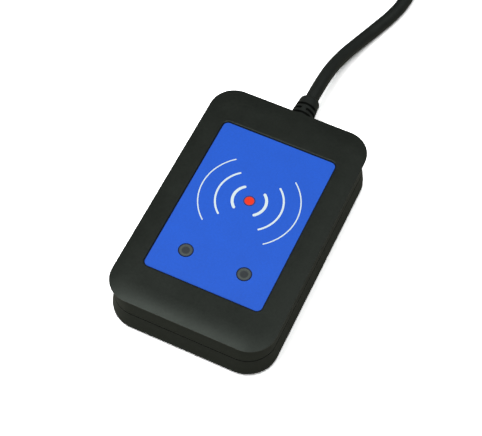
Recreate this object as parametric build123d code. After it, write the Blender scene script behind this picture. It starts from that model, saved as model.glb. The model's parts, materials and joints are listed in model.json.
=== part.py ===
from build123d import *
import math
import os

# A desktop USB reader for contactless cards, in millimetres.
# Frame: +Z up, +Y towards the cord, origin on the table under the middle of the case.
# Names that end in _X, _Y or _Z are places in that frame, and the others are sizes.

# ---- driving dimensions ----

CASE_WIDTH, CASE_LENGTH, CASE_HEIGHT = 56.0, 88.0, 18.0
LIP_RADIUS = 8.8                    # corner of the top shell's widest outline
LIP_EDGE_Z, LIP_UNDER_Z = 17.2, 16.75
ROLL_DEPTH = 6.8                    # how far inboard the top begins to fall away
NECK_INSET, BASE_INSET = 1.6, -0.3  # the side wall, under the lip and at the base
WALL_RADIUS = 10.0                  # corner of that wall, taken on the lip's outline
UNDERSIDE_Z, DRAFT_FROM_Z, PARTING_Z = 0.6, 2.4, 8.7
FLOOR_Z, CEILING_Z = 2.4, 15.6      # inner faces of the closed case
TOP_CAVITY_INSET, BASE_CAVITY_INSET = 3.2, 2.6
BASE_ROUND, LIP_ROUND = 0.8, 0.18
SHADOW_GAP, SHADOW_DEPTH = 0.45, 0.5
TONGUE_INSET, TONGUE_HEIGHT, TONGUE_PLAY, TONGUE_HEADROOM = 1.75, 1.3, 0.06, 0.15
CUT = 1.0                           # how far a cutting shape runs past the face it opens
OVERLAP, FIT_GAP = 0.5, 0.05        # how far joined shapes run into each other, and a seat's play

LABEL_WIDTH, LABEL_LENGTH, LABEL_RADIUS = 40.0, 60.0, 1.75
LABEL_TOP_Z, LABEL_THICK, LABEL_GAP = 17.5, 0.25, 0.2
RECESS_ROUND = 0.5
WINDOW_X, WINDOW_Y = 10.05, -19.9
WINDOW_HOLE, WINDOW_HEAD, WINDOW_STEM, WINDOW_PLAY = 5.0, 4.5, 3.1, 0.2
WINDOW_HEAD_THICK, WINDOW_FOOT_Z, WINDOW_DISH = 0.5, 14.9, 0.08
RATING_WIDTH, RATING_LENGTH, RATING_Y, RATING_GAP = 36.0, 22.0, 4.0, 0.2
RATING_DEPTH, RATING_THICK, RATING_RADIUS = 0.25, 0.15, 1.0

FOOT_X, FOOT_Y = 20.8, 36.8         # feet, with the case screws above them
FOOT_DIAMETER, FOOT_THICK, FOOT_ROOM, FOOT_ROUND = 8.0, 1.6, 0.3, 0.3
BOSS_DIAMETER, BOSS_SPLIT_Z, BOSS_ROOT = 6.0, 7.5, 0.5
CASE_SCREW_SHANK, CASE_SCREW_LENGTH = 2.2, 10.0
CASE_SCREW_HEAD, CASE_SCREW_HEAD_THICK, CASE_SCREW_HEAD_Z = 4.4, 1.6, 1.9
CASE_SCREW_PILOT, CASE_SCREW_CLEARANCE, CASE_SCREW_PILOT_TOP = 2.26, 2.6, 14.4
HEAD_POCKET, HEAD_POCKET_TOP = 4.7, 3.6

BOARD_WIDTH, BOARD_LENGTH, BOARD_THICK, BOARD_TOP_Z, BOARD_RADIUS = 47.0, 66.0, 1.6, 8.0, 1.0
CORD_NOTCH_WIDTH, CORD_NOTCH_DEPTH = 12.0, 4.5
POST_X, POST_Y, POST_DIAMETER = 20.5, 30.0, 5.0
POST_PILOT, POST_PILOT_FOOT_Z, BOARD_HOLE = 1.9, 2.8, 2.3
BOARD_SCREW_SHANK, BOARD_SCREW_LENGTH, BOARD_SCREW_HEAD, BOARD_SCREW_HEAD_THICK = 1.8, 4.4, 3.8, 1.2
LED_LEG_X, LED_LEG_THICK, LED_LEG_HOLE = 1.27, 0.5, 0.8
CHIP_LIFT, CHIP_CHAMFER = 0.12, 0.15
MICROCONTROLLER_X, MICROCONTROLLER_Y, MICROCONTROLLER_SIZE, MICROCONTROLLER_THICK = 0.0, -6.0, 7.0, 1.4
READER_X, READER_Y, READER_WIDTH, READER_LENGTH, READER_THICK = -13.0, 3.0, 3.9, 9.9, 1.45
SIDE_LEGS, FINE_PITCH, COARSE_PITCH = 8, 0.8, 1.27   # chip legs on a side, and their spacings
REGULATOR_X, REGULATOR_Y, REGULATOR_WIDTH, REGULATOR_LENGTH, REGULATOR_THICK = 15.0, 3.0, 4.5, 2.5, 1.5
TUNING_X, TUNING_Y, TUNING_WIDTH, TUNING_LENGTH, TUNING_HEIGHT = -15.0, -14.0, 7.2, 2.6, 5.0

CORD_DIAMETER = 4.8
CORD_AXIS_Z = PARTING_Z
RELIEF_TIP_Y, RELIEF_ROOT_RADIUS, RELIEF_TIP_RADIUS = 56.0, 4.5, 3.55
RELIEF_TIP_ROUND = 1.15
SLOT_ROWS, SLOT_FIRST_Y, SLOT_PITCH, SLOT_WIDTH, SLOT_DEPTH, SLOT_WEB = 4, 45.7, 2.0, 1.0, 1.15, 1.6
RELIEF_NECK, RELIEF_HOLE, RELIEF_FLANGE = 6.3, 6.4, 9.0
RELIEF_FLANGE_Y, RELIEF_NECK_Y = 39.1, 40.75   # the flange's inner face, and the wall's
RELIEF_ROOT_OVERLAP = 0.5
WIRE_DIAMETER, JACKET_END_Y = 1.1, 35.5

# ---- the cord's route: straight out, down to the table, a coil, then the plug on the coil ----

COIL_X, COIL_Y = -20.0, 147.0
COIL_MIDDLE_RADIUS = 26.0
COIL_LAYERS, COIL_TURNS_PER_LAYER = 4, 2.4375
TIE_THICK, TIE_WIDTH, TIE_ANGLE = 0.6, 4.0, 25.0
LEAD_ROUTE = [
    (0.0, RELIEF_TIP_Y, CORD_AXIS_Z),
    (0.0, 67.0, 8.7),
    (1.2, 80.5, 5.6),
    (5.4, 96.0, 2.5),
    (11.85, 113.5, 2.55),
    (11.85, 129.0, 3.05),
]
TAIL_ROUTE = [
    (-14.0, 178.6, 22.3),
    (-24.8, 178.6, 22.3),
    (-34.8, 174.5, 22.3),
    (-42.4, 166.8, 22.9),
    (-46.5, 156.9, 23.9),
    (-46.5, 146.1, 23.9),
]
COIL_ROUND, LEAD_STUB, TAIL_STUB, STUB_EXTRA = 1.4, 9.0, 6.0, 0.3
PLUG_AXIS_Z = 23.9
PLUG_RELIEF_LENGTH, PLUG_BODY_LENGTH, PLUG_NOSE_LENGTH = 7.0, 21.0, 12.0
PLUG_RELIEF_ROOT, PLUG_RELIEF_TIP, PLUG_RELIEF_OVERLAP = 3.5, 2.9, 0.6
PLUG_GROOVES, PLUG_GROOVE_FIRST, PLUG_GROOVE_PITCH = 3, 1.4, 1.9
PLUG_GROOVE_WIDTH, PLUG_GROOVE_FLOOR = 0.8, 5.2
PLUG_BODY_WIDTH, PLUG_BODY_THICK, PLUG_BODY_RADIUS, PLUG_BODY_ROUND = 15.4, 8.0, 2.2, 0.8
PLUG_SHELL_WIDTH, PLUG_SHELL_THICK, PLUG_SHELL_WALL, PLUG_SHELL_ROUND = 12.0, 4.5, 0.3, 0.4
PLUG_POCKET_DEPTH = 6.0
LATCH_WIDTH, LATCH_LENGTH, LATCH_X, LATCH_FROM_NOSE = 2.0, 2.4, 2.85, 6.4
INSULATOR_THICK, INSULATOR_SETBACK = 1.9, 0.6
CONTACT_WIDTH, CONTACT_THICK, CONTACT_SETBACK = 1.0, 0.15, 1.0
CONTACT_LENGTHS = {-3.5: 8.6, -1.0: 7.6, 1.0: 7.6, 3.5: 8.6}   # length at each place across the plug

pieces = {}


# ---- helpers ----

def plate(width, length, radius, low, high):
    """A flat piece with rounded corners, between two heights."""
    return Pos(0, 0, low) * extrude(RectangleRounded(width, length, radius), high - low)


def disc(diameter, low, high, x=0.0, y=0.0):
    """An upright cylinder between two heights."""
    return Pos(x, y, low) * extrude(Circle(diameter / 2), high - low)


def block(x_size, y_size, z_size, x, y, low):
    """A box centred on x and y that stands on a height."""
    return Pos(x, y, low + z_size / 2) * Box(x_size, y_size, z_size)


def rod(diameter, start, end):
    """A round bar between two points."""
    direction = Vector(*end) - Vector(*start)
    return extrude(Plane(origin=start, z_dir=direction) * Circle(diameter / 2), direction.length)


def wall_inset(z):
    """How far the drafted side wall stands inside the lip's outline at a height."""
    share = (z - DRAFT_FROM_Z) / (LIP_UNDER_Z - DRAFT_FROM_Z)
    return BASE_INSET + (NECK_INSET - BASE_INSET) * share


def outline(inset):
    """The case's plan outline, moved inwards."""
    return RectangleRounded(CASE_WIDTH - 2 * inset, CASE_LENGTH - 2 * inset, WALL_RADIUS - inset)


def drafted(low, high):
    """The case's outer body between two heights, with its sloping sides."""
    ends = [Pos(0, 0, z) * outline(wall_inset(z)) for z in (low, high)]
    return loft(ends, ruled=True)


def core(inset, low, high):
    """A straight-sided block inside the case's outline."""
    return Pos(0, 0, low) * extrude(outline(inset), high - low)


def corners(x, y):
    """The four points (+-x, +-y)."""
    return [(sx * x, sy * y) for sy in (-1, 1) for sx in (-1, 1)]


def bend_radii(points, diameter, name=None):
    """The radius of each corner of a route: as large as its two runs allow."""
    vectors = [Vector(*p) for p in points]
    radii = []
    for before, here, after in zip(vectors, vectors[1:], vectors[2:]):
        into, out = here - before, after - here
        half_turn = math.radians(into.get_angle(out)) / 2
        radii.append(0.45 * min(into.length, out.length) / math.tan(half_turn))
    if name:
        print(name, "bend radii", [round(r, 1) for r in radii],
              "in diameters", [round(r / diameter, 1) for r in radii])
    return radii


def tube(points, diameter, name=None):
    """A round tube along straight runs joined by tangent arcs."""
    path = FilletPolyline(*points, radius=bend_radii(points, diameter, name))
    section = Plane(origin=path @ 0, z_dir=path % 0) * Circle(diameter / 2)
    made = sweep(section, path=path)
    if name:
        expected = math.pi * diameter**2 / 4 * path.length
        print(name, "length", round(path.length, 1), "volume", round(made.volume, 1),
              "section x length", round(expected, 1))
    return made


def screw(x, y, head_low, head_diameter, head_thick, shank_diameter, shank_length, upwards):
    """A cross-head screw on a vertical axis. Its shank runs up or down from its head."""
    sign = 1 if upwards else -1
    head_face = head_low if upwards else head_low + head_thick
    shank_start = head_low + head_thick if upwards else head_low
    ends = sorted((shank_start, shank_start + sign * shank_length))
    body = disc(head_diameter, head_low, head_low + head_thick, x, y)
    body += disc(shank_diameter, ends[0], ends[1], x, y)
    slot_depth, slot_width, slot_length = 0.5 * head_thick, 0.5, 0.6 * head_diameter
    slot_low = head_face if upwards else head_face - slot_depth
    for width, length in ((slot_width, slot_length), (slot_length, slot_width)):
        body -= block(width, length, slot_depth, x, y, slot_low)
    return body


# ---- case ----

def roll_cutter():
    """What the rolled edge takes off the flat top, all round."""
    drop = CASE_HEIGHT - LIP_EDGE_Z
    radius = (ROLL_DEPTH**2 + drop**2) / (2 * drop)
    half_angle = math.asin(ROLL_DEPTH / radius) / 2
    inner = (CASE_WIDTH / 2 - ROLL_DEPTH, CASE_HEIGHT)
    middle = (inner[0] + radius * math.sin(half_angle),
              CASE_HEIGHT - radius * (1 - math.cos(half_angle)))
    outer = (CASE_WIDTH / 2, LIP_EDGE_Z)
    curve = ThreePointArc(inner, middle, outer)
    sides = Polyline(outer, (outer[0] + CUT, outer[1]), (outer[0] + CUT, CASE_HEIGHT + CUT),
                     (inner[0], CASE_HEIGHT + CUT), inner)
    profile = Plane.XZ * make_face([curve, sides])
    path = Pos(0, 0, LIP_EDGE_Z) * RectangleRounded(CASE_WIDTH, CASE_LENGTH, LIP_RADIUS).wire()
    right_side = path.edges().sort_by(Axis.X)[-1]
    start_y = right_side.center().Y
    return sweep(Pos(0, start_y, 0) * profile, path=path, transition=Transition.RIGHT)


def make_top_shell():
    recess_width, recess_length = LABEL_WIDTH + 2 * LABEL_GAP, LABEL_LENGTH + 2 * LABEL_GAP
    recess_floor = LABEL_TOP_Z - LABEL_THICK
    lip = plate(CASE_WIDTH, CASE_LENGTH, LIP_RADIUS, LIP_UNDER_Z, CASE_HEIGHT) - roll_cutter()
    lip = fillet(lip.edges().group_by(Axis.Z)[0], LIP_ROUND)
    lip -= plate(recess_width, recess_length, LABEL_RADIUS + LABEL_GAP, LIP_UNDER_Z - CUT, CASE_HEIGHT + CUT)
    near = 0.01
    rim = [e for e in lip.edges().group_by(Axis.Z)[-1]
           if abs(e.center().X) < recess_width / 2 + near and abs(e.center().Y) < recess_length / 2 + near]
    lip = fillet(rim, RECESS_ROUND)
    shell = drafted(PARTING_Z, LIP_UNDER_Z)
    shell += plate(recess_width + 2 * OVERLAP, recess_length + 2 * OVERLAP, LABEL_RADIUS,
                   LIP_UNDER_Z - OVERLAP, recess_floor)
    shell += lip
    shell -= core(TOP_CAVITY_INSET, PARTING_Z, CEILING_Z)
    shell -= core(TONGUE_INSET - TONGUE_PLAY, PARTING_Z, PARTING_Z + TONGUE_HEIGHT + TONGUE_HEADROOM)
    shell -= shadow_ring(PARTING_Z, PARTING_Z + SHADOW_GAP / 2)
    for x, y in corners(FOOT_X, FOOT_Y):
        shell += disc(BOSS_DIAMETER, BOSS_SPLIT_Z + FIT_GAP, CEILING_Z, x, y)
        shell -= disc(CASE_SCREW_PILOT, BOSS_SPLIT_Z, CASE_SCREW_PILOT_TOP, x, y)
    seat_z = LABEL_TOP_Z - WINDOW_HEAD_THICK - FIT_GAP
    for x in (-WINDOW_X, WINDOW_X):
        shell -= disc(WINDOW_HEAD + WINDOW_PLAY, seat_z, CASE_HEIGHT, x, WINDOW_Y)
        shell -= disc(WINDOW_STEM + WINDOW_PLAY, CEILING_Z - CUT, CASE_HEIGHT, x, WINDOW_Y)
    return shell - relief_hole()


def shadow_ring(low, high):
    """The step round the outside that leaves a dark line where the shells meet."""
    inset = wall_inset(PARTING_Z)
    return core(inset - CUT, low, high) - core(inset + SHADOW_DEPTH, low - CUT, high + CUT)


def relief_hole():
    """The round hole in the rear wall, half in each shell."""
    return rod(RELIEF_HOLE, (0, RELIEF_FLANGE_Y - CUT, CORD_AXIS_Z), (0, CASE_LENGTH / 2 + CUT, CORD_AXIS_Z))


def make_bottom_shell():
    base = plate(CASE_WIDTH - 2 * BASE_INSET, CASE_LENGTH - 2 * BASE_INSET,
                 WALL_RADIUS - BASE_INSET, UNDERSIDE_Z, DRAFT_FROM_Z)
    base = fillet(base.edges().group_by(Axis.Z)[0], BASE_ROUND)
    shell = base + drafted(DRAFT_FROM_Z, PARTING_Z)
    shell -= core(BASE_CAVITY_INSET, FLOOR_Z, PARTING_Z)
    tongue = core(TONGUE_INSET, PARTING_Z - SHADOW_GAP, PARTING_Z + TONGUE_HEIGHT)
    tongue -= core(BASE_CAVITY_INSET, PARTING_Z - CUT, PARTING_Z + TONGUE_HEIGHT + CUT)
    shell += tongue
    shell -= shadow_ring(PARTING_Z - SHADOW_GAP / 2, PARTING_Z)
    for x, y in corners(FOOT_X, FOOT_Y):
        shell += disc(BOSS_DIAMETER, FLOOR_Z - BOSS_ROOT, BOSS_SPLIT_Z, x, y)
        shell -= disc(FOOT_DIAMETER + FOOT_ROOM, 0, FOOT_THICK, x, y)
        shell -= disc(HEAD_POCKET, 0, HEAD_POCKET_TOP, x, y)
        shell -= disc(CASE_SCREW_CLEARANCE, 0, BOSS_SPLIT_Z + CUT, x, y)
    for x, y in corners(POST_X, POST_Y):
        shell += disc(POST_DIAMETER, FLOOR_Z - BOSS_ROOT, BOARD_TOP_Z - BOARD_THICK, x, y)
        shell -= disc(POST_PILOT, POST_PILOT_FOOT_Z, BOARD_TOP_Z, x, y)
    shell -= Pos(0, RATING_Y, 0) * plate(RATING_WIDTH + 2 * RATING_GAP, RATING_LENGTH + 2 * RATING_GAP,
                                         RATING_RADIUS + RATING_GAP, 0, UNDERSIDE_Z + RATING_DEPTH)
    return shell - relief_hole()


def make_case():
    pieces["top_shell"] = make_top_shell()
    pieces["bottom_shell"] = make_bottom_shell()
    pieces["rubber_feet"] = [
        fillet(disc(FOOT_DIAMETER, 0, FOOT_THICK, x, y).edges().group_by(Axis.Z)[0], FOOT_ROUND)
        for x, y in corners(FOOT_X, FOOT_Y)
    ]
    pieces["case_screws"] = [
        screw(x, y, CASE_SCREW_HEAD_Z, CASE_SCREW_HEAD, CASE_SCREW_HEAD_THICK,
              CASE_SCREW_SHANK, CASE_SCREW_LENGTH, upwards=True)
        for x, y in corners(FOOT_X, FOOT_Y)
    ]
    label_top = UNDERSIDE_Z + RATING_DEPTH
    pieces["rating_label"] = Pos(0, RATING_Y, 0) * plate(
        RATING_WIDTH, RATING_LENGTH, RATING_RADIUS, label_top - RATING_THICK, label_top)


def make_front():
    label = plate(LABEL_WIDTH, LABEL_LENGTH, LABEL_RADIUS, LABEL_TOP_Z - LABEL_THICK, LABEL_TOP_Z)
    windows = []
    for x in (-WINDOW_X, WINDOW_X):
        label -= disc(WINDOW_HOLE, LABEL_TOP_Z - CUT, LABEL_TOP_Z + CUT, x, WINDOW_Y)
        window = disc(WINDOW_HEAD, LABEL_TOP_Z - WINDOW_HEAD_THICK, LABEL_TOP_Z, x, WINDOW_Y)
        window += disc(WINDOW_STEM, WINDOW_FOOT_Z, LABEL_TOP_Z - WINDOW_HEAD_THICK / 2, x, WINDOW_Y)
        window -= disc(WINDOW_STEM, LABEL_TOP_Z - WINDOW_DISH, LABEL_TOP_Z + CUT, x, WINDOW_Y)
        windows.append(window)
    pieces["front_label"] = label
    pieces["led_windows"] = windows


# ---- board and what stands on it ----

def make_board():
    board = plate(BOARD_WIDTH, BOARD_LENGTH, BOARD_RADIUS, BOARD_TOP_Z - BOARD_THICK, BOARD_TOP_Z)
    for x, y in corners(POST_X, POST_Y):
        board -= disc(BOARD_HOLE, 0, CASE_HEIGHT, x, y)
    for x in (-WINDOW_X, WINDOW_X):
        for side in (-LED_LEG_X, LED_LEG_X):
            board -= disc(LED_LEG_HOLE, 0, CASE_HEIGHT, x + side, WINDOW_Y)
    pieces["main_board"] = board - block(CORD_NOTCH_WIDTH, 2 * CORD_NOTCH_DEPTH, CASE_HEIGHT,
                                         0, BOARD_LENGTH / 2, 0)
    pieces["board_screws"] = [
        screw(x, y, BOARD_TOP_Z, BOARD_SCREW_HEAD, BOARD_SCREW_HEAD_THICK,
              BOARD_SCREW_SHANK, BOARD_SCREW_LENGTH, upwards=False)
        for x, y in corners(POST_X, POST_Y)
    ]


def chip(x, y, width, length, thick):
    """A moulded chip package, with its pin-one dimple, a little above the board."""
    low = BOARD_TOP_Z + CHIP_LIFT
    dimple_diameter, dimple_depth, dimple_inset = 0.7, 0.12, 1.0
    body = block(width, length, thick, x, y, low)
    body = chamfer(body.edges().group_by(Axis.Z)[-1], CHIP_CHAMFER)
    return body - disc(dimple_diameter, low + thick - dimple_depth, low + thick + CUT,
                       x - width / 2 + dimple_inset, y + length / 2 - dimple_inset)


def gull_legs(x, y, half_width, count, pitch, turn=0):
    """Two rows of chip legs, each a foot on the board and a shoulder at the package."""
    foot_length, leg_width, foot_thick, riser_height, riser_thick = 0.9, 0.3, 0.12, 0.7, 0.15
    foot = block(foot_length, leg_width, foot_thick, 0, 0, BOARD_TOP_Z)
    riser = block(riser_thick, leg_width, riser_height, (riser_thick - foot_length) / 2, 0, BOARD_TOP_Z)
    legs = []
    for side_turn in (0, 180):
        for i in range(count):
            offset = (i - (count - 1) / 2) * pitch
            leg = Pos(half_width + foot_length / 2, offset, 0) * (foot + riser)
            legs.append(Pos(x, y, 0) * Rot(0, 0, turn + side_turn) * leg)
    return legs


def make_chips():
    x, y, size = MICROCONTROLLER_X, MICROCONTROLLER_Y, MICROCONTROLLER_SIZE
    pieces["microcontroller"] = chip(x, y, size, size, MICROCONTROLLER_THICK)
    legs = []
    for turn in (0, 90):
        legs += gull_legs(x, y, size / 2, SIDE_LEGS, FINE_PITCH, turn)
    pieces["reader_chip"] = chip(READER_X, READER_Y, READER_WIDTH, READER_LENGTH, READER_THICK)
    legs += gull_legs(READER_X, READER_Y, READER_WIDTH / 2, SIDE_LEGS, COARSE_PITCH)
    pieces["chip_legs"] = legs
    leg_width, leg_length, leg_thick, leg_pitch, leg_out = 0.5, 1.0, 0.4, 1.5, 0.35
    leg_y = REGULATOR_Y - REGULATOR_LENGTH / 2 - leg_out
    regulator = chip(REGULATOR_X, REGULATOR_Y, REGULATOR_WIDTH, REGULATOR_LENGTH, REGULATOR_THICK)
    for i in (-1, 0, 1):
        regulator += block(leg_width, leg_length, leg_thick, REGULATOR_X + leg_pitch * i,
                           leg_y, BOARD_TOP_Z)
    pieces["voltage_regulator"] = regulator


def make_crystal(x, y):
    """A low metal can on a wider base flange."""
    width, depth, height, flange, flange_thick = 11.0, 4.6, 3.3, 0.3, 0.5
    can = extrude(SlotOverall(width, depth), height)
    base = extrude(SlotOverall(width + 2 * flange, depth + 2 * flange), flange_thick)
    return Pos(x, y, BOARD_TOP_Z) * (base + Pos(0, 0, flange_thick) * can)


def chip_part(x, y):
    """A small ceramic capacitor or resistor with a slightly larger cap at each end."""
    length, width, thick, cap, cap_margin = 1.3, 1.2, 0.55, 0.35, 0.06
    part = block(length, width, thick, x, y, BOARD_TOP_Z)
    for side in (-1, 1):
        part += block(cap, width + cap_margin, thick + cap_margin, x + side * (length + cap) / 2, y,
                      BOARD_TOP_Z)
    return part


def make_supply_capacitor(x, y):
    """A round can on a square base with two cut corners."""
    base_size, base_thick, corner = 5.3, 0.8, 1.0
    can_diameter, height, rounding = 5.0, 5.2, 0.3
    base = block(base_size, base_size, base_thick, x, y, BOARD_TOP_Z)
    base = chamfer(base.edges().filter_by(Axis.Z).group_by(Axis.X)[-1], corner)
    can = disc(can_diameter, BOARD_TOP_Z + base_thick, BOARD_TOP_Z + height, x, y)
    return base + fillet(can.edges().group_by(Axis.Z)[-1], rounding)


def make_buzzer(x, y):
    """A round sounder with a hole in its top."""
    diameter, height, rounding, hole, hole_depth = 9.6, 5.0, 0.4, 2.0, 2.0
    top = BOARD_TOP_Z + height
    can = fillet(disc(diameter, BOARD_TOP_Z, top, x, y).edges().group_by(Axis.Z)[-1], rounding)
    return can - disc(hole, top - hole_depth, top + CUT, x, y)


def make_led(x):
    """A 3 mm LED that stands on its legs, under a window."""
    flange_low, flange_top, dome_z, leg_foot_z = 9.4, 10.3, 13.2, 5.9
    flange_diameter, diameter = 3.8, 3.0
    led = disc(flange_diameter, flange_low, flange_top, x, WINDOW_Y)
    led += disc(diameter, flange_top, dome_z, x, WINDOW_Y)
    led += Pos(x, WINDOW_Y, dome_z) * Sphere(diameter / 2)
    leg_length = flange_low + OVERLAP - leg_foot_z
    for side in (-LED_LEG_X, LED_LEG_X):
        led += block(LED_LEG_THICK, LED_LEG_THICK, leg_length, x + side, WINDOW_Y, leg_foot_z)
    return led


def make_tuning_capacitor():
    """A dipped film capacitor that stands a little off the board."""
    lift, rounding = 0.2, 0.4
    film = block(TUNING_WIDTH, TUNING_LENGTH, TUNING_HEIGHT, TUNING_X, TUNING_Y, BOARD_TOP_Z + lift)
    return fillet(film.edges().group_by(Axis.Z)[-1], rounding)


def make_board_parts():
    rows, columns, column_pitch, first_x = (-14, -1, 9), 5, 3.2, -10
    pieces["chip_parts"] = [chip_part(first_x + column_pitch * column + row, y)
                            for row, y in enumerate(rows) for column in range(columns)]
    pieces["crystal"] = make_crystal(x=10, y=-13)
    pieces["tuning_capacitor"] = make_tuning_capacitor()
    pieces["supply_capacitor"] = make_supply_capacitor(x=14, y=-3)
    pieces["buzzer"] = make_buzzer(x=14, y=15)
    pieces["status_leds"] = [make_led(x) for x in (-WINDOW_X, WINDOW_X)]


def make_antenna():
    """The wound coil under the ceiling, the pads that hold it, and its two leads."""
    pad_thick, pad_width, pad_length, pad_y = 0.2, 2.6, 9.0, 16.0
    top, thick, width = CEILING_Z - pad_thick, 1.6, 3.0
    coil_width, coil_length, outer_radius, inner_radius = 40.0, 62.0, 6.0, 3.5
    coil = plate(coil_width, coil_length, outer_radius, top - thick, top)
    coil -= plate(coil_width - 2 * width, coil_length - 2 * width, inner_radius,
                  top - thick - CUT, top + CUT)
    pieces["antenna_coil"] = fillet(coil.edges().group_by(Axis.Z)[0], 0.5)
    pad_x = (coil_width - width) / 2
    pieces["coil_pads"] = [block(pad_width, pad_length, pad_thick, x, y, top)
                           for x, y in corners(pad_x, pad_y)]
    lead_diameter, lead_x, start_y = 0.4, 1.5, (width - coil_length) / 2
    pieces["coil_leads"] = [
        tube([(x, start_y, top - thick), (x, start_y, 12.3), (0.8 * x, start_y + 1.2, 10.4),
              (x, start_y + 2.0, BOARD_TOP_Z)], lead_diameter)
        for x in (-lead_x, lead_x)
    ]


# ---- cord inside the case ----

def make_cord_entry():
    """The header, the crimp housing in it, four wires, and the end of the jacket."""
    pin_places, pin_thick, pin_length = (-3, -1, 1, 3), 0.5, 3.6
    header_y, header_width, header_length, header_height = 14.0, 11.8, 7.6, 4.8
    wall, socket_floor, socket_height = 0.8, 0.8, 3.2
    pin_z = BOARD_TOP_Z + 2.4
    header = block(header_width, header_length, header_height, 0, header_y, BOARD_TOP_Z)
    header -= block(header_width - 2 * wall, header_length - 0.6, socket_height,
                    0, header_y + 1.0, BOARD_TOP_Z + socket_floor)
    housing_y, housing_length, housing_height = 18.2, 6.4, 3.0
    housing = block(10.0, housing_length, housing_height, 0, housing_y, BOARD_TOP_Z + 0.9)
    pins = []
    for x in pin_places:
        pin = block(pin_thick, pin_length, pin_thick, x, header_y - 1.0, pin_z - pin_thick / 2)
        header -= pin
        housing -= block(0.7, 3.0, 0.7, x, housing_y - 2.2, pin_z - 0.35)
        pins.append(pin)
    pieces["cord_header"] = header
    pieces["header_pins"] = pins
    pieces["crimp_housing"] = housing
    side = 0.75                     # each wire's place in the jacket, off its axis
    places = ((-side, side), (-side, -side), (side, -side), (side, side))
    for name, x, (end_x, end_z) in zip(("red", "white", "green", "black"), pin_places, places):
        rise = CORD_AXIS_Z + end_z
        route = [(x, housing_y + housing_length / 2, pin_z), (x, 25.5, pin_z),
                 (end_x, 31.0, rise), (end_x, JACKET_END_Y, rise)]
        pieces["wire_" + name] = tube(route, WIRE_DIAMETER)
    pieces["cord_jacket_end"] = rod(CORD_DIAMETER, (0, JACKET_END_Y, CORD_AXIS_Z),
                                    (0, RELIEF_FLANGE_Y, CORD_AXIS_Z))


def slot_ring(y, floor_radius, upright):
    """A ring of slots round the strain relief, interrupted by two webs."""
    reach = 12.0
    ring = rod(reach, (0, y - SLOT_WIDTH / 2, CORD_AXIS_Z), (0, y + SLOT_WIDTH / 2, CORD_AXIS_Z))
    ring -= rod(2 * floor_radius, (0, y - SLOT_WIDTH, CORD_AXIS_Z), (0, y + SLOT_WIDTH, CORD_AXIS_Z))
    web = (SLOT_WEB, 2 * SLOT_WIDTH, reach) if upright else (reach, 2 * SLOT_WIDTH, SLOT_WEB)
    return ring - Pos(0, y, CORD_AXIS_Z) * Box(*web)


def make_strain_relief():
    """A tapered sleeve with rings of slots, and a flange that the rear wall holds."""
    rear_face = CASE_LENGTH / 2 - wall_inset(CORD_AXIS_Z - RELIEF_ROOT_RADIUS) + FIT_GAP
    length = RELIEF_TIP_Y - rear_face
    sleeve = Plane(origin=(0, rear_face, CORD_AXIS_Z), z_dir=(0, 1, 0)) * Pos(0, 0, length / 2) * Cone(
        RELIEF_ROOT_RADIUS, RELIEF_TIP_RADIUS, length)
    sleeve = fillet(sleeve.edges().sort_by(Axis.Y)[-1], RELIEF_TIP_ROUND)
    for row in range(SLOT_ROWS):
        y = SLOT_FIRST_Y + SLOT_PITCH * row
        share = (y - rear_face) / length
        surface_radius = RELIEF_ROOT_RADIUS + (RELIEF_TIP_RADIUS - RELIEF_ROOT_RADIUS) * share
        sleeve -= slot_ring(y, surface_radius - SLOT_DEPTH, upright=row % 2 == 0)
    neck_end = rear_face + RELIEF_ROOT_OVERLAP
    neck = rod(RELIEF_NECK, (0, RELIEF_NECK_Y, CORD_AXIS_Z), (0, neck_end, CORD_AXIS_Z))
    flange = rod(RELIEF_FLANGE, (0, RELIEF_FLANGE_Y, CORD_AXIS_Z), (0, RELIEF_NECK_Y, CORD_AXIS_Z))
    pieces["strain_relief"] = sleeve + neck + flange


# ---- free cord, its coil and its plug ----

def coil_section():
    """Inner radius, outer radius, bottom and top of the whole coil."""
    half = (COIL_TURNS_PER_LAYER + 1) * CORD_DIAMETER / 2
    low = TIE_THICK
    return (COIL_MIDDLE_RADIUS - half, COIL_MIDDLE_RADIUS + half,
            low, low + COIL_LAYERS * CORD_DIAMETER)


def stub(face, next_point, length):
    """A short straight end on the coil, in line with the cord's run to next_point, and a little thicker."""
    start = Vector(*face)
    back = start + (start - Vector(*next_point)).normalized() * length
    return rod(CORD_DIAMETER + STUB_EXTRA, tuple(back), tuple(start))


def make_cord():
    pieces["usb_cord"] = tube(LEAD_ROUTE, CORD_DIAMETER, "usb_cord")
    pieces["cord_tail"] = tube(TAIL_ROUTE, CORD_DIAMETER, "cord_tail")
    inner, outer, low, high = coil_section()
    ring = Pos(COIL_X, COIL_Y, low) * extrude(Circle(outer) - Circle(inner), high - low)
    ring = fillet(ring.edges(), COIL_ROUND)
    ring += stub(LEAD_ROUTE[-1], LEAD_ROUTE[-2], LEAD_STUB)
    ring += stub(TAIL_ROUTE[0], TAIL_ROUTE[1], TAIL_STUB)
    pieces["cord_coil"] = ring
    pieces["coil_tie"] = make_tie(inner, outer, low, high)


def make_tie(inner, outer, low, high):
    """A band round the coil's section."""
    middle = Vector(COIL_X, COIL_Y, (low + high) / 2)
    width, height = outer - inner + 0.4, high - low + 0.1
    angle = math.radians(TIE_ANGLE)
    radial = Vector(math.cos(angle), math.sin(angle), 0)
    where = Plane(origin=middle + radial * COIL_MIDDLE_RADIUS, x_dir=radial,
                  z_dir=Vector(-math.sin(angle), math.cos(angle), 0))
    band = RectangleRounded(width + 2 * TIE_THICK, height + TIE_THICK, 2.0)
    band -= RectangleRounded(width, height, 1.3)
    return where * Pos(0, 0, -TIE_WIDTH / 2) * extrude(band, TIE_WIDTH)


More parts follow.
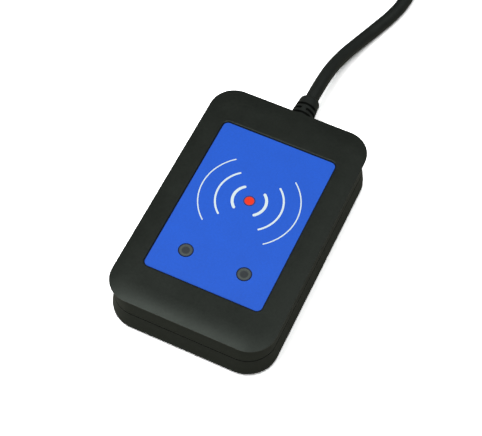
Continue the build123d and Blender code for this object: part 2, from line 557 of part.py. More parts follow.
def make_plug_body(x, relief_end, body_end):
    """The overmould, with its grooved relief and a pocket for the metal shell."""
    along = Plane(origin=(x, body_end, PLUG_AXIS_Z), x_dir=(1, 0, 0), z_dir=(0, 1, 0))
    section = along * RectangleRounded(PLUG_BODY_WIDTH, PLUG_BODY_THICK, PLUG_BODY_RADIUS)
    body = extrude(section, PLUG_BODY_LENGTH)
    ends = body.edges().group_by(Axis.Y)
    body = fillet(ends[0] + ends[-1], PLUG_BODY_ROUND)
    cone_length = PLUG_RELIEF_LENGTH + PLUG_RELIEF_OVERLAP
    cone = Pos(0, 0, cone_length / 2) * Cone(PLUG_RELIEF_ROOT, PLUG_RELIEF_TIP, cone_length)
    body += Plane(origin=(x, relief_end - PLUG_RELIEF_OVERLAP, PLUG_AXIS_Z), z_dir=(0, 1, 0)) * cone
    for row in range(PLUG_GROOVES):
        y = relief_end + PLUG_GROOVE_FIRST + PLUG_GROOVE_PITCH * row
        groove = rod(3 * PLUG_RELIEF_ROOT, (x, y, PLUG_AXIS_Z), (x, y + PLUG_GROOVE_WIDTH, PLUG_AXIS_Z))
        body -= groove - rod(PLUG_GROOVE_FLOOR, (x, y - CUT, PLUG_AXIS_Z), (x, y + 2 * CUT, PLUG_AXIS_Z))
    return body - block(PLUG_SHELL_WIDTH, PLUG_POCKET_DEPTH, PLUG_SHELL_THICK,
                        x, body_end + PLUG_POCKET_DEPTH / 2, PLUG_AXIS_Z - PLUG_SHELL_THICK / 2)


def make_plug():
    """A USB-A plug: overmould, metal shell, insulator and four contacts, pointing along -Y."""
    x, start_y, _ = TAIL_ROUTE[-1]
    relief_end = start_y - PLUG_RELIEF_LENGTH
    body_end = relief_end - PLUG_BODY_LENGTH
    nose_end = body_end - PLUG_NOSE_LENGTH
    pieces["plug_body"] = make_plug_body(x, relief_end, body_end)
    shell_length = PLUG_NOSE_LENGTH + PLUG_POCKET_DEPTH
    shell_y = nose_end + shell_length / 2
    low = PLUG_AXIS_Z - PLUG_SHELL_THICK / 2
    inside_width = PLUG_SHELL_WIDTH - 2 * PLUG_SHELL_WALL
    shell = block(PLUG_SHELL_WIDTH, shell_length, PLUG_SHELL_THICK, x, shell_y, low)
    shell = fillet(shell.edges().filter_by(Axis.Y), PLUG_SHELL_ROUND)
    shell -= block(inside_width, shell_length + 2 * CUT, PLUG_SHELL_THICK - 2 * PLUG_SHELL_WALL,
                   x, shell_y, low + PLUG_SHELL_WALL)
    for side in (-1, 1):
        shell -= block(LATCH_WIDTH, LATCH_LENGTH, PLUG_SHELL_THICK + 2 * CUT,
                       x + side * LATCH_X, nose_end + LATCH_FROM_NOSE, low - CUT)
    pieces["plug_shell"] = shell
    tongue_low = low + PLUG_SHELL_WALL
    pieces["plug_insulator"] = block(inside_width, shell_length - INSULATOR_SETBACK, INSULATOR_THICK,
                                     x, shell_y + INSULATOR_SETBACK / 2, tongue_low)
    pieces["plug_contacts"] = [
        block(CONTACT_WIDTH, length, CONTACT_THICK, x + offset,
              nose_end + CONTACT_SETBACK + length / 2, tongue_low + INSULATOR_THICK)
        for offset, length in CONTACT_LENGTHS.items()
    ]


# ---- build and write ----

make_case()
make_front()
make_board()
make_chips()
make_board_parts()
make_antenna()
make_cord_entry()
make_strain_relief()
make_cord()
make_plug()

os.makedirs("parts", exist_ok=True)
for name, piece in pieces.items():
    if isinstance(piece, list):
        piece = Compound(label=name, children=[Part() + solid for solid in piece])
    export_step(piece, f"parts/{name}.step")
print(len(pieces), "nodes")
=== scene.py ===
import json
import math

import bmesh
import bpy
from mathutils import Matrix, Vector


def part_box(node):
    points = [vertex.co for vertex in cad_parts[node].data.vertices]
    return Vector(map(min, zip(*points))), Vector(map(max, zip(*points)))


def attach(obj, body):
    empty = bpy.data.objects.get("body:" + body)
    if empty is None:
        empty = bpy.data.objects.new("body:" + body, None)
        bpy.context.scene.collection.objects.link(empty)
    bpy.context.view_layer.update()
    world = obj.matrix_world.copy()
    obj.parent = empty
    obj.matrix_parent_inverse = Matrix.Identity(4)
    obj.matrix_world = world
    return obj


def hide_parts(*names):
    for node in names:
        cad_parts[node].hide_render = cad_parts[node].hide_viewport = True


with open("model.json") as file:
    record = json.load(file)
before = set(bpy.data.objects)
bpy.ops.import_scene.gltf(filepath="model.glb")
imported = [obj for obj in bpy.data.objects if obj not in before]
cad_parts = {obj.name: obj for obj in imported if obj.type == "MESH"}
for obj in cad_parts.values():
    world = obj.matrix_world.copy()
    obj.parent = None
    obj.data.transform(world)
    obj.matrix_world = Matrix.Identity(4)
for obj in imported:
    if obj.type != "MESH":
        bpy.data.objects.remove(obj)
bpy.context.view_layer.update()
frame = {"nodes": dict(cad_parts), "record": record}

MM = 0.001

# ---- camera: the photograph's viewing angle ----

AZIMUTH, ELEVATION, ROLL = 24.02, 58.54, 1.22      # degrees
DISTANCE, LENS = 0.44675, 100.55                   # metres from the target, millimetres
TARGET = Vector((-0.00359, 0.00743, 0.0009))


def make_camera():
    azimuth, elevation, roll = (math.radians(x) for x in (AZIMUTH, ELEVATION, ROLL))
    back = Vector((math.sin(azimuth) * math.cos(elevation),
                   -math.cos(azimuth) * math.cos(elevation), math.sin(elevation)))
    level = Vector((math.cos(azimuth), math.sin(azimuth), 0))
    rise = back.cross(level)
    right = math.cos(roll) * level + math.sin(roll) * rise
    up = math.cos(roll) * rise - math.sin(roll) * level
    camera = bpy.data.objects.new("camera", bpy.data.cameras.new("camera"))
    bpy.context.scene.collection.objects.link(camera)
    camera.matrix_world = Matrix.Translation(TARGET + back * DISTANCE) @ Matrix(
        (right, up, back)).transposed().to_4x4()
    camera.data.lens = LENS
    camera.data.sensor_width = 36
    camera.data.clip_start = 0.01
    bpy.context.scene.camera = camera


# ---- materials ----

NOISE_RANGE, PATCHY_RANGE = (0.3, 0.7), (0.35, 0.65)   # the noise values that are spread out
FLAT_DOT, EDGE_DOT = 0.98, 0.8          # a softened normal against the true one
WEAR_AND_SHEEN_REACH, WEAR_AND_SHEEN_PATCH = 0.35, 1.2      # millimetres in from an edge, and across a patch of paler edge, which is rubbed wear and a painted highlight
LEAST_WEAR_AND_SHEEN = 0.2                        # share of the paler edge colour, painted highlight and wear, that is always there
WORN_AND_SHEEN_PALER, WORN_SMOOTHER = 2.2, 0.12   # times the colour, for the painted edge highlight and wear, and off the roughness


class Surface:
    """A node material round one Principled shader, with sizes in millimetres in the frame."""

    def __init__(self, name):
        self.material = bpy.data.materials.new(name)
        self.material.use_nodes = True
        self.tree = self.material.node_tree
        self.shader = self.tree.nodes["Principled BSDF"]
        self.place = self.node("ShaderNodeTexCoord").outputs["Object"]

    def node(self, kind, **values):
        made = self.tree.nodes.new(kind)
        for key, value in values.items():
            setattr(made, key, value)
        return made

    def link(self, output, socket):
        self.tree.links.new(output, socket)

    def put(self, value, socket):
        """Links an output to a socket, or sets the socket to a number."""
        if isinstance(value, bpy.types.NodeSocket):
            self.link(value, socket)
        else:
            socket.default_value = value

    def math(self, operation, a, b=0.0):
        made = self.node("ShaderNodeMath", operation=operation)
        self.put(a, made.inputs[0])
        self.put(b, made.inputs[1])
        return made.outputs[0]

    def noise(self, size, detail=2.0, stretch=(1, 1, 1)):
        """Noise from 0 to 1, with lumps of about this size in millimetres."""
        mapping = self.node("ShaderNodeMapping")
        mapping.inputs["Scale"].default_value = stretch
        self.link(self.place, mapping.inputs["Vector"])
        made = self.node("ShaderNodeTexNoise")
        made.inputs["Scale"].default_value = 1 / (size * MM)
        made.inputs["Detail"].default_value = detail
        self.link(mapping.outputs["Vector"], made.inputs["Vector"])
        return made.outputs["Fac"]

    def spread(self, value, low, high, first, last):
        """Maps value from low..high to first..last, and holds it there beyond."""
        made = self.node("ShaderNodeMapRange")
        self.put(value, made.inputs["Value"])
        limits = {"From Min": low, "From Max": high, "To Min": first, "To Max": last}
        for key, number in limits.items():
            made.inputs[key].default_value = number
        return made.outputs["Result"]

    def vary(self, noise, first, last):
        """Maps a noise to first..last."""
        return self.spread(noise, *NOISE_RANGE, first, last)

    def mix(self, share, first, second):
        """A colour between two colours."""
        made = self.node("ShaderNodeMix", data_type="RGBA")
        self.put(share, made.inputs["Factor"])
        for colour, socket in ((first, made.inputs["A"]), (second, made.inputs["B"])):
            if isinstance(colour, bpy.types.NodeSocket):
                self.link(colour, socket)
            else:
                socket.default_value = (*colour, 1)
        return made.outputs["Result"]

    def bump(self, height, depth):
        """Adds relief: height from 0 to 1 over a depth in millimetres."""
        made = self.node("ShaderNodeBump")
        made.inputs["Distance"].default_value = depth * MM
        self.link(height, made.inputs["Height"])
        normal = self.shader.inputs["Normal"]
        if normal.is_linked:
            self.link(normal.links[0].from_socket, made.inputs["Normal"])
        self.link(made.outputs["Normal"], normal)

    def edges(self, reach):
        """How near the surface is to a sharp edge, from 0 on a flat to 1 on an edge."""
        soft = self.node("ShaderNodeBevel", samples=6)
        soft.inputs["Radius"].default_value = reach * MM
        true = self.node("ShaderNodeNewGeometry").outputs["Normal"]
        product = self.node("ShaderNodeVectorMath", operation="DOT_PRODUCT")
        self.link(soft.outputs["Normal"], product.inputs[0])
        self.link(true, product.inputs[1])
        return self.spread(product.outputs["Value"], FLAT_DOT, EDGE_DOT, 0.0, 1.0)


def shade(colour, factor):
    """A paler or darker version of a colour."""
    return tuple(min(1.0, c * factor) for c in colour)


def finish(name, colour, roughness, metallic=0.0, mottle=0.08, patch=5.0, uneven=0.05,
           grain=0.3, grain_share=0.4, depth=0.004, wear_and_edge_sheen=0.0, stretch=(1, 1, 1), tint=None,
           gloss_level=0.5):
    """A general finish: mottled colour, uneven gloss, fine relief, and paler edges that are rubbed
    wear and a painted edge highlight.

    Sizes are in millimetres: patch of the broad mottling, grain of the fine one, and depth of
    the relief. mottle and grain_share are shares from 0 to 1: how far the colour strays, and how
    much of that is fine. The edge share, also from 0 to 1, is how far the edges grow paler, as
    rubbed wear and a painted edge highlight. uneven is how far the roughness strays.
    gloss_level and tint are the strength and colour of the reflections.
    """
    s = Surface(name)
    broad = s.noise(patch, detail=4)
    fine = s.noise(grain, detail=2, stretch=stretch)
    blend = s.math("ADD", s.math("MULTIPLY", broad, 1 - grain_share),
                   s.math("MULTIPLY", fine, grain_share))
    blend = s.vary(blend, 0.0, 1.0)
    base = s.mix(blend, shade(colour, 1 - mottle), shade(colour, 1 + mottle))
    gloss = s.vary(broad, roughness - uneven, roughness + uneven)
    # paler edges: rubbed wear, and a painted highlight along every sharp edge
    if wear_and_edge_sheen:
        edges = s.edges(WEAR_AND_SHEEN_REACH)
        patches = s.spread(s.noise(WEAR_AND_SHEEN_PATCH, detail=3), *PATCHY_RANGE, LEAST_WEAR_AND_SHEEN, wear_and_edge_sheen)
        rubbed_and_sheen = s.math("MULTIPLY", edges, patches)
        base = s.mix(rubbed_and_sheen, base, shade(colour, WORN_AND_SHEEN_PALER))
        gloss = s.math("SUBTRACT", gloss, s.math("MULTIPLY", rubbed_and_sheen, WORN_SMOOTHER))
    s.put(base, s.shader.inputs["Base Color"])
    s.put(gloss, s.shader.inputs["Roughness"])
    s.shader.inputs["Metallic"].default_value = metallic
    s.shader.inputs["Specular IOR Level"].default_value = gloss_level
    if tint:
        s.shader.inputs["Specular Tint"].default_value = (*tint, 1)
    s.bump(fine, depth)
    return s


WINDOW_MIDDLE, WINDOW_RIM_SHADE = (1.15, 1.45), (1.85, 2.2)   # radii over which the colours change: to the pale ring, and to the painted shade at the rim


def window_material():
    """Smoked plastic light pipes: a dark middle, a paler ring, and a dark blue rim that is painted
    shade where the pipe meets the label's hole.
    """
    s = Surface("window_grey")
    parts = s.node("ShaderNodeSeparateXYZ")
    s.link(s.place, parts.inputs[0])
    low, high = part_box("led_windows")
    window_radius = (high.y - low.y) / 2
    window_x = (high.x - low.x) / 2 - window_radius
    window_y = (high.y + low.y) / 2
    dx = s.math("SUBTRACT", s.math("ABSOLUTE", parts.outputs["X"]), window_x)
    dy = s.math("SUBTRACT", parts.outputs["Y"], window_y)
    squares = s.math("ADD", s.math("MULTIPLY", dx, dx), s.math("MULTIPLY", dy, dy))
    radius = s.math("DIVIDE", s.math("SQRT", squares), MM)
    smoke, pale, rim, speck = ((0.031, 0.037, 0.042), (0.080, 0.096, 0.088),
                               (0.018, 0.030, 0.080), (0.060, 0.070, 0.072))
    base = s.mix(s.spread(radius, *WINDOW_MIDDLE, 0.0, 1.0), smoke, pale)
    # the dark blue rim is painted shade, where the pipe meets the label's hole
    base = s.mix(s.spread(radius, *WINDOW_RIM_SHADE, 0.0, 1.0), base, rim)
    base = s.mix(s.vary(s.noise(0.25, detail=3), 0.0, 0.18), base, speck)
    s.put(base, s.shader.inputs["Base Color"])
    s.put(s.vary(s.noise(1.0), 0.30, 0.42), s.shader.inputs["Roughness"])
    s.bump(s.noise(0.4), 0.003)
    return s


def label_material():
    """Blue printed film with a fine satin grain."""
    return finish("label_blue", (0.0142, 0.1115, 0.668), 0.50, mottle=0.07, patch=9.0, uneven=0.04,
                  grain=0.7, grain_share=0.6, depth=0.004, gloss_level=0.3)


BORDER_INSET, BORDER_EDGE = 1.2, (0.12, 0.18)   # the border's middle line, and its blurred edge


def rating_material():
    """A blank satin label with a thin printed border."""
    s = Surface("label_paper")
    parts = s.node("ShaderNodeSeparateXYZ")
    s.link(s.place, parts.inputs[0])
    low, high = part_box("rating_label")
    middle_y = (low.y + high.y) / 2
    from_x = s.math("SUBTRACT", (high.x - low.x) / 2, s.math("ABSOLUTE", parts.outputs["X"]))
    from_y = s.math("SUBTRACT", (high.y - low.y) / 2,
                    s.math("ABSOLUTE", s.math("SUBTRACT", parts.outputs["Y"], middle_y)))
    inset = s.math("DIVIDE", s.math("MINIMUM", from_x, from_y), MM)
    off_line = s.math("ABSOLUTE", s.math("SUBTRACT", inset, BORDER_INSET))
    line = s.spread(off_line, *BORDER_EDGE, 1.0, 0.0)
    paper = s.mix(s.noise(0.5, detail=4), (0.66, 0.66, 0.64), (0.76, 0.76, 0.74))
    s.put(s.mix(line, paper, (0.05, 0.05, 0.05)), s.shader.inputs["Base Color"])
    s.put(s.vary(s.noise(3.0), 0.40, 0.50), s.shader.inputs["Roughness"])
    s.bump(s.noise(0.3), 0.003)
    return s


TRACK_PITCH, WINDING_PITCH = 3.0, 0.8


def board_material():
    """Green solder mask over copper tracks, which show as paler, raised lines."""
    s = Surface("board_green")
    tracks = s.node("ShaderNodeTexBrick", offset=0.35, squash=1.0)
    tracks.inputs["Scale"].default_value = 1 / (TRACK_PITCH * MM)
    tracks.inputs["Mortar Size"].default_value = 0.06
    tracks.inputs["Mortar Smooth"].default_value = 0.2
    s.link(s.place, tracks.inputs["Vector"])
    mask = s.mix(s.noise(4.0, detail=4), (0.010, 0.120, 0.045), (0.016, 0.170, 0.065))
    s.put(s.mix(tracks.outputs["Fac"], mask, (0.035, 0.260, 0.100)), s.shader.inputs["Base Color"])
    s.put(s.vary(s.noise(2.0), 0.25, 0.40), s.shader.inputs["Roughness"])
    s.bump(tracks.outputs["Fac"], 0.03)
    return s


def winding_material():
    """Enamelled copper wire, whose turns lie one above the other."""
    s = finish("copper_wire", (0.60, 0.20, 0.07), 0.32, metallic=1.0, mottle=0.15, patch=2.0)
    turns = s.node("ShaderNodeTexWave", bands_direction="Z", wave_profile="SIN")
    turns.inputs["Scale"].default_value = 1 / (WINDING_PITCH * MM)
    s.link(s.place, turns.inputs["Vector"])
    s.bump(turns.outputs["Fac"], 0.05)
    return s


def resin_material():
    """Clear LED resin with a little haze."""
    s = finish("led_resin", (0.86, 0.88, 0.90), 0.15, mottle=0.04, patch=2.0, uneven=0.03,
               depth=0.002)
    s.shader.inputs["Transmission Weight"].default_value = 0.85
    return s


PLASTIC = (0.0105, 0.0122, 0.0100)
PLASTIC_TINT = (0.88, 1.0, 0.90)


def make_materials():
    """One material for each of the record's slots."""
    return {
        # the black plastic's paler edges are a painted edge highlight
        "black_plastic": finish("black_plastic", PLASTIC, 0.42, mottle=0.26, patch=7.0,
                                uneven=0.035, grain=0.7, grain_share=0.7, depth=0.012, wear_and_edge_sheen=0.5,
                                tint=PLASTIC_TINT),
        "ink_white": finish("ink_white", (0.75, 0.87, 0.89), 0.45, mottle=0.03, patch=2.0,
                            grain=0.2),
        "ink_red": finish("ink_red", (0.92, 0.038, 0.010), 0.42, mottle=0.03, patch=1.5, grain=0.2,
                          gloss_level=0.3),
        "label_blue": label_material(),
        "window_grey": window_material(),
        "foot_rubber": finish("foot_rubber", (0.030, 0.030, 0.030), 0.80, patch=2.0, grain=0.15,
                              depth=0.02),
        "screw_steel": finish("screw_steel", (0.55, 0.55, 0.56), 0.35, metallic=1.0, grain=0.1,
                              stretch=(1, 1, 0.1), wear_and_edge_sheen=0.3),
        "label_paper": rating_material(),
        "board_green": board_material(),
        "chip_black": finish("chip_black", (0.018, 0.018, 0.020), 0.55, patch=1.0, grain=0.08,
                             depth=0.006),
        "solder_tin": finish("solder_tin", (0.64, 0.64, 0.62), 0.38, metallic=1.0, patch=0.6,
                             grain=0.1),
        "copper_wire": winding_material(),
        "pad_foam": finish("pad_foam", (0.78, 0.76, 0.68), 0.90, patch=1.0, grain=0.15, depth=0.05),
        "part_tan": finish("part_tan", (0.42, 0.28, 0.14), 0.50, patch=0.5, grain=0.08),
        "capacitor_can": finish("capacitor_can", (0.70, 0.70, 0.71), 0.30, metallic=1.0, patch=1.5,
                                grain=0.1, stretch=(1, 1, 0.1)),
        "capacitor_film": finish("capacitor_film", (0.48, 0.06, 0.04), 0.30, patch=1.0, grain=0.4,
                                 depth=0.02),
        "led_resin": resin_material(),
        "header_white": finish("header_white", (0.78, 0.77, 0.72), 0.50, patch=2.0, grain=0.15),
        "wire_red": finish("wire_red", (0.56, 0.02, 0.02), 0.35, patch=1.5, grain=0.2),
        "wire_white": finish("wire_white", (0.80, 0.80, 0.78), 0.35, patch=1.5, grain=0.2),
        "wire_green": finish("wire_green", (0.02, 0.35, 0.08), 0.35, patch=1.5, grain=0.2),
        "wire_black": finish("wire_black", (0.02, 0.02, 0.02), 0.35, patch=1.5, grain=0.2),
        "cord_jacket": finish("cord_jacket", (0.0128, 0.0142, 0.0130), 0.47, mottle=0.12, patch=4.0,
                              uneven=0.06, grain=0.35, depth=0.010, tint=PLASTIC_TINT),
        "tie_coating": finish("tie_coating", (0.012, 0.012, 0.012), 0.38, patch=2.0, grain=0.3,
                              depth=0.01),
        "plug_metal": finish("plug_metal", (0.66, 0.66, 0.67), 0.33, metallic=1.0, mottle=0.05,
                             patch=4.0, uneven=0.06, grain=0.12, depth=0.003,
                             stretch=(1, 0.08, 1), wear_and_edge_sheen=0.3),
        "plug_white": finish("plug_white", (0.82, 0.82, 0.80), 0.45, patch=2.0, grain=0.15),
        "contact_gold": finish("contact_gold", (0.78, 0.56, 0.20), 0.25, metallic=1.0, patch=1.0,
                               grain=0.1),
    }


def ring_material():
    """The dark keyline printed round the dot."""
    return finish("ink_blue", (0.030, 0.040, 0.130), 0.45, mottle=0.05, patch=2.0, grain=0.2)


def give(piece, surface):
    piece.data.materials.clear()
    piece.data.materials.append(surface.material)


# ---- the cord: straight out, down to the table, a wound coil, then the plug on the coil ----

CORD_DIAMETER = 4.8 * MM
CORD_STEPS = 6         # between two of its points, and round a quarter of its section
LEAD = [               # millimetres, from the strain relief to the coil
    (0.0, 56.0, 8.7),
    (0.0, 67.0, 8.7),
    (1.2, 80.5, 5.6),
    (5.4, 96.0, 2.5),
    (11.85, 113.5, 2.55),
    (11.85, 129.0, 3.05),
]
TAIL = [               # from the coil to the plug
    (-14.0, 178.6, 22.3),
    (-24.8, 178.6, 22.3),
    (-34.8, 174.5, 22.3),
    (-42.4, 166.8, 22.9),
    (-46.5, 156.9, 23.9),
    (-46.5, 146.1, 23.9),
]
COIL_X, COIL_Y, COIL_RADIUS = -20.0, 147.0, 26.0
COIL_LAYERS, TURNS_PER_LAYER, COIL_FLOOR = 4, 2.4375, 0.6
CLIMB_TURNS, LIFT_TURNS = 0.5, 0.15    # between two layers, and up to the tail at the end
END_TURNS = 0.0625                     # left out before the tail
POINTS_PER_TURN = 24


def smooth(t):
    t = min(1.0, max(0.0, t))
    return t * t * (3 - 2 * t)


def coil_points():
    """The coil's turns in millimetres: each layer winds in or out, then climbs on to the next."""
    pitch = CORD_DIAMETER / MM
    half_band = TURNS_PER_LAYER * pitch / 2
    layer_turns = TURNS_PER_LAYER + CLIMB_TURNS
    all_turns = COIL_LAYERS * layer_turns - CLIMB_TURNS
    top_layer = COIL_FLOOR + pitch * (COIL_LAYERS - 0.5)
    lift_from, lift = all_turns - LIFT_TURNS, TAIL[0][2] - top_layer
    widen = 1 / math.cos(math.pi / POINTS_PER_TURN)   # the curve cuts the corners at its points
    points = []
    for i in range(int((all_turns - END_TURNS) * POINTS_PER_TURN)):
        turn = (i + 0.5) / POINTS_PER_TURN
        layer = min(COIL_LAYERS - 1, int(turn / layer_turns))
        wound = turn - layer * layer_turns
        share = min(1.0, wound / TURNS_PER_LAYER)
        inward = 1 if layer % 2 == 0 else -1
        radius = (COIL_RADIUS + inward * half_band * (1 - 2 * share)) * widen
        climb = smooth((wound - TURNS_PER_LAYER) / CLIMB_TURNS)
        z = COIL_FLOOR + pitch * (layer + 0.5 + climb)
        z += lift * smooth((turn - lift_from) / LIFT_TURNS)
        angle = 2 * math.pi * turn
        points.append((COIL_X + radius * math.cos(angle), COIL_Y + radius * math.sin(angle), z))
    return points


def make_cord(surface):
    route = [Vector(p) * MM for p in LEAD + coil_points() + TAIL]
    curve = bpy.data.curves.new("cord", "CURVE")
    curve.dimensions = "3D"
    spline = curve.splines.new("NURBS")
    spline.points.add(len(route) - 1)
    for point, place in zip(spline.points, route):
        point.co = (*place, 1)
    spline.order_u = 3
    spline.use_endpoint_u = True
    spline.resolution_u = CORD_STEPS
    curve.bevel_depth = CORD_DIAMETER / 2
    curve.bevel_resolution = CORD_STEPS
    curve.use_fill_caps = True
    curve.materials.append(surface.material)
    cord = bpy.data.objects.new("cord", curve)
    bpy.context.scene.collection.objects.link(cord)
    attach(cord, "root")
    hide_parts("usb_cord", "cord_coil", "cord_tail")
    return cord


# ---- meshes ----

def add_piece(name, bm, smooth_faces=False):
    """Turns a bmesh, in millimetres in the frame, into a piece that rides on the one body."""
    bmesh.ops.recalc_face_normals(bm, faces=bm.faces)
    bmesh.ops.scale(bm, vec=(MM, MM, MM), verts=bm.verts)
    for face in bm.faces:
        face.smooth = smooth_faces
    mesh = bpy.data.meshes.new(name)
    bm.to_mesh(mesh)
    bm.free()
    piece = bpy.data.objects.new(name, mesh)
    bpy.context.scene.collection.objects.link(piece)
    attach(piece, "root")
    return piece


def raise_ink(bm, faces, high):
    """Makes flat faces into a closed film with its top at a height."""
    made = bmesh.ops.extrude_face_region(bm, geom=faces, use_keep_orig=True)
    for item in made["geom"]:
        if isinstance(item, bmesh.types.BMVert):
            item.co.z = high


# ---- the printed signal mark: a dot between two sets of three arcs ----

MARK_X, MARK_Y = 0.25, 5.1
ARCS = [(5.52, 0.96), (11.03, 0.64), (16.55, 0.40)]  # radius and width
ARC_HALF_SPAN = 50.0                                 # degrees
ARC_STEPS, CAP_STEPS = 48, 8
DOT_RADIUS, RING_RADIUS = 1.55, 1.95
RING_GAP, RING_SHARE = 0.02, 0.6                     # off the dot, and of the ink's thickness
DOT_STEPS = 72
INK_THICK = 0.03
LABEL_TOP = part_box("front_label")[1].z / MM


def mark_point(distance, angle):
    """A point of the mark, on the label's face."""
    return Vector((MARK_X + distance * math.cos(angle), MARK_Y + distance * math.sin(angle),
                   LABEL_TOP))


def arc_faces(bm, radius, width, middle):
    """The flat faces of one arc round the mark's centre, with rounded ends."""
    half_span = math.radians(ARC_HALF_SPAN)
    angles = [middle - half_span + 2 * half_span * i / ARC_STEPS for i in range(ARC_STEPS + 1)]
    inner = [bm.verts.new(mark_point(radius - width / 2, a)) for a in angles]
    outer = [bm.verts.new(mark_point(radius + width / 2, a)) for a in angles]
    faces = []
    for i in range(ARC_STEPS):
        faces.append(bm.faces.new((inner[i], outer[i], outer[i + 1], inner[i + 1])))
    for end, way in ((0, -1), (ARC_STEPS, 1)):
        centre = mark_point(radius, angles[end])
        cap = []
        for i in range(1, CAP_STEPS):
            turn = angles[end] + way * math.pi * i / CAP_STEPS
            outward = Vector((math.cos(turn), math.sin(turn), 0))
            cap.append(bm.verts.new(centre + outward * width / 2))
        faces.append(bm.faces.new([outer[end]] + cap + [inner[end]]))
    return faces


def make_arcs():
    bm = bmesh.new()
    faces = []
    for middle in (0.0, math.pi):
        for radius, width in ARCS:
            faces += arc_faces(bm, radius, width, middle)
    raise_ink(bm, faces, LABEL_TOP + INK_THICK)
    return add_piece("signal_arcs", bm)


def circle_points(radius):
    return [mark_point(radius, 2 * math.pi * i / DOT_STEPS) for i in range(DOT_STEPS)]


def make_dot():
    bm = bmesh.new()
    disc = bm.faces.new([bm.verts.new(p) for p in circle_points(DOT_RADIUS)])
    raise_ink(bm, [disc], LABEL_TOP + INK_THICK)
    return add_piece("signal_dot", bm)


def make_dot_ring():
    bm = bmesh.new()
    inner = [bm.verts.new(p) for p in circle_points(DOT_RADIUS + RING_GAP)]
    outer = [bm.verts.new(p) for p in circle_points(RING_RADIUS)]
    faces = []
    for i in range(DOT_STEPS):
        j = (i + 1) % DOT_STEPS
        faces.append(bm.faces.new((inner[i], outer[i], outer[j], inner[j])))
    raise_ink(bm, faces, LABEL_TOP + RING_SHARE * INK_THICK)
    return add_piece("signal_dot_ring", bm)


# ---- the twist tie round the coil ----

TIE_ANGLE = math.radians(25.0)
TIE_HALF_WIDTH, TIE_HALF_HEIGHT, TIE_CORNER = 8.5, 9.85, 2.6   # of the loop's middle line
TIE_MIDDLE_Z, TIE_HALF_GAP = 10.2, 2.2                         # the gap is between the loop's ends
TIE_CORNER_STEPS, TWIST_STEPS = 8, 48
TWIST_Z, TWIST_START = 13.0, 1.6        # height of its axis, and how far out of the loop it starts
TWIST_RADIUS, TWISTS = 0.42, 2.0        # of each end off the axis, and whole turns
TWIST_BEND_RADIUS, TWIST_BEND = 6.5, math.radians(85.0)
TWIST_PINCH, PINCH_SHARE = 0.34, 0.12   # of the ribbon's width, and of the twist to get there
# across and outward: a flat ribbon with a wire in its middle
TIE_SECTION = [(-2.0, -0.12), (-0.55, -0.12), (-0.3, -0.2), (0.3, -0.2), (0.55, -0.12),
               (2.0, -0.12), (2.1, 0.0), (2.0, 0.12), (0.6, 0.12), (0.36, 0.24), (0.0, 0.29),
               (-0.36, 0.24), (-0.6, 0.12), (-2.0, 0.12), (-2.1, 0.0)]


def tie_loop():
    """The loop's middle line: distance along the coil's radius, height, and heading in degrees."""
    corners = [(1, 1), (-1, 1), (-1, -1), (1, -1)]
    gap_middle = TWIST_Z - TIE_MIDDLE_Z
    points = [(TIE_HALF_WIDTH, gap_middle + TIE_HALF_GAP, 90.0)]
    for i, (sx, sz) in enumerate(corners):
        centre = (sx * (TIE_HALF_WIDTH - TIE_CORNER), sz * (TIE_HALF_HEIGHT - TIE_CORNER))
        for step in range(TIE_CORNER_STEPS + 1):
            turn = math.radians(90 * i + 90 * step / TIE_CORNER_STEPS)
            points.append((centre[0] + TIE_CORNER * math.cos(turn),
                           centre[1] + TIE_CORNER * math.sin(turn), 90 + math.degrees(turn)))
    points.append((TIE_HALF_WIDTH, gap_middle - TIE_HALF_GAP, 450.0))
    return points


def tie_frames():
    """Place, outward direction and share of full width along the tie: an end, the loop, an end."""
    radial = Vector((math.cos(TIE_ANGLE), math.sin(TIE_ANGLE), 0))
    along = Vector((-math.sin(TIE_ANGLE), math.cos(TIE_ANGLE), 0))
    up = Vector((0, 0, 1))
    middle = Vector((COIL_X, COIL_Y, TIE_MIDDLE_Z)) + radial * COIL_RADIUS
    twist_start = TIE_HALF_WIDTH + TWIST_START
    axis_height = TWIST_Z - TIE_MIDDLE_Z
    ends = []
    for side in (1, -1):
        frames = []
        for i in range(TWIST_STEPS + 1):
            share = i / TWIST_STEPS
            turn, bend = 2 * math.pi * TWISTS * share, TWIST_BEND * share
            level = math.cos(bend) * along - math.sin(bend) * radial
            outward = side * (math.cos(turn) * up + math.sin(turn) * level)
            place = middle + up * axis_height
            place += radial * (twist_start + TWIST_BEND_RADIUS * math.sin(bend))
            place += along * TWIST_BEND_RADIUS * (1 - math.cos(bend))
            width = 1 + (TWIST_PINCH - 1) * smooth(share / PINCH_SHARE)
            frames.append((place + outward * TWIST_RADIUS, outward, width))
        ends.append(frames)
    loop = []
    for distance, height, heading in tie_loop():
        turn = math.radians(heading)
        outward = radial * math.sin(turn) - up * math.cos(turn)
        loop.append((middle + radial * distance + up * height, outward, 1.0))
    return list(reversed(ends[0])) + loop + ends[1]


def make_tie():
    frames = tie_frames()
    bm = bmesh.new()
    rings = []
    for i, (place, outward, width) in enumerate(frames):
        ahead = frames[min(i + 1, len(frames) - 1)][0]
        behind = frames[max(i - 1, 0)][0]
        heading = (ahead - behind).normalized()
        across = heading.cross(outward).normalized()
        rings.append([bm.verts.new(place + across * w * width + outward * t)
                      for w, t in TIE_SECTION])
    count = len(TIE_SECTION)
    for first, second in zip(rings, rings[1:]):
        for i in range(count):
            j = (i + 1) % count
            bm.faces.new((first[i], first[j], second[j], second[i]))
    bm.faces.new(rings[0])
    bm.faces.new(rings[-1])
    tie = add_piece("twist_tie", bm, smooth_faces=True)
    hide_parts("coil_tie")
    return tie


# ---- studio: a white floor and soft light from above ----

FLOOR_HALF = 0.7   # metres
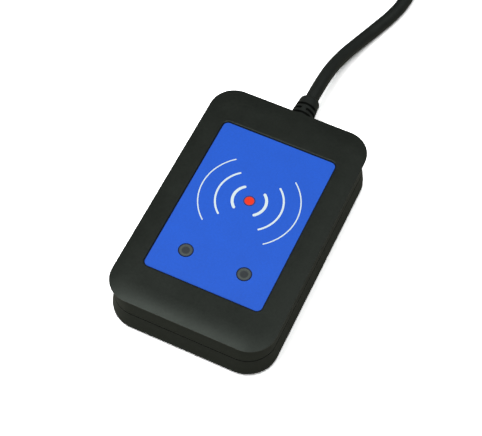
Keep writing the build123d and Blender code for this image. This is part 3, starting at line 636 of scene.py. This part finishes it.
# what the camera sees directly, then what lights the object
FLOOR_SEEN, FLOOR_BOUNCE = (2.7, 2.7, 2.7), (0.29, 0.29, 0.245)
SKY_SEEN, SKY_LIGHT = (1.0, 1.0, 1.0), (0.116, 0.1196, 0.116)


def by_camera(tree, kind, seen, otherwise):
    """Two shaders: one for what the camera sees directly, the other for the light it gives."""
    path = tree.nodes.new("ShaderNodeLightPath")
    mixer = tree.nodes.new("ShaderNodeMixShader")
    tree.links.new(path.outputs["Is Camera Ray"], mixer.inputs[0])
    for colour, socket in ((otherwise, mixer.inputs[1]), (seen, mixer.inputs[2])):
        shader = tree.nodes.new(kind)
        shader.inputs["Color"].default_value = (*colour, 1)
        tree.links.new(shader.outputs[0], socket)
    output = next(n for n in tree.nodes if n.type in ("OUTPUT_MATERIAL", "OUTPUT_WORLD"))
    tree.links.new(mixer.outputs[0], output.inputs["Surface"])


def make_floor():
    h = FLOOR_HALF
    mesh = bpy.data.meshes.new("floor")
    mesh.from_pydata([(-h, -h, 0), (h, -h, 0), (h, h, 0), (-h, h, 0)], [], [(0, 1, 2, 3)])
    floor = bpy.data.objects.new("floor", mesh)
    bpy.context.scene.collection.objects.link(floor)
    material = bpy.data.materials.new("floor")
    material.use_nodes = True
    by_camera(material.node_tree, "ShaderNodeBsdfDiffuse", FLOOR_SEEN, FLOOR_BOUNCE)
    mesh.materials.append(material)


def make_sky():
    world = bpy.data.worlds.new("studio")
    bpy.context.scene.world = world
    world.use_nodes = True
    by_camera(world.node_tree, "ShaderNodeBackground", SKY_SEEN, SKY_LIGHT)


def make_light(name, place, power, width, gloss=True, diffuse=True):
    """A square soft box at a place, in metres, turned towards the origin.

    Without gloss it isn't reflected, and without diffuse it shows only in reflections.
    """
    light = bpy.data.lights.new(name, "AREA")
    light.energy = power
    light.size = width
    lamp = bpy.data.objects.new(name, light)
    lamp.location = place
    lamp.rotation_euler = Vector(place).to_track_quat("Z", "Y").to_euler()
    lamp.visible_glossy = gloss
    lamp.visible_diffuse = diffuse
    bpy.context.scene.collection.objects.link(lamp)


# ---- build ----

surfaces = make_materials()
make_camera()
cord = make_cord(surfaces["cord_jacket"])
tie = make_tie()
for name, node in frame["nodes"].items():
    slot = next(p["material_slot"] for p in frame["record"]["subparts"] if p["node"] == name)
    give(node, surfaces[slot])
give(tie, surfaces["tie_coating"])
give(make_arcs(), surfaces["ink_white"])
give(make_dot(), surfaces["ink_red"])
give(make_dot_ring(), ring_material())

bpy.context.scene.view_settings.view_transform = "Standard"
make_floor()
make_sky()
make_light("ceiling", (-0.02, 0.17, 0.69), 3.66, 0.85, gloss=False)
make_light("key", (-0.17, -0.12, 0.56), 0.99, 0.25)
make_light("rim", (0.15, 0.22, 0.60), 0.12, 0.18)
make_light("fill", (-0.22, -0.45, 0.16), 0.90, 0.25, gloss=False)
make_light("corner", (0.29, -0.13, 0.51), 0.90, 0.20, diffuse=False)
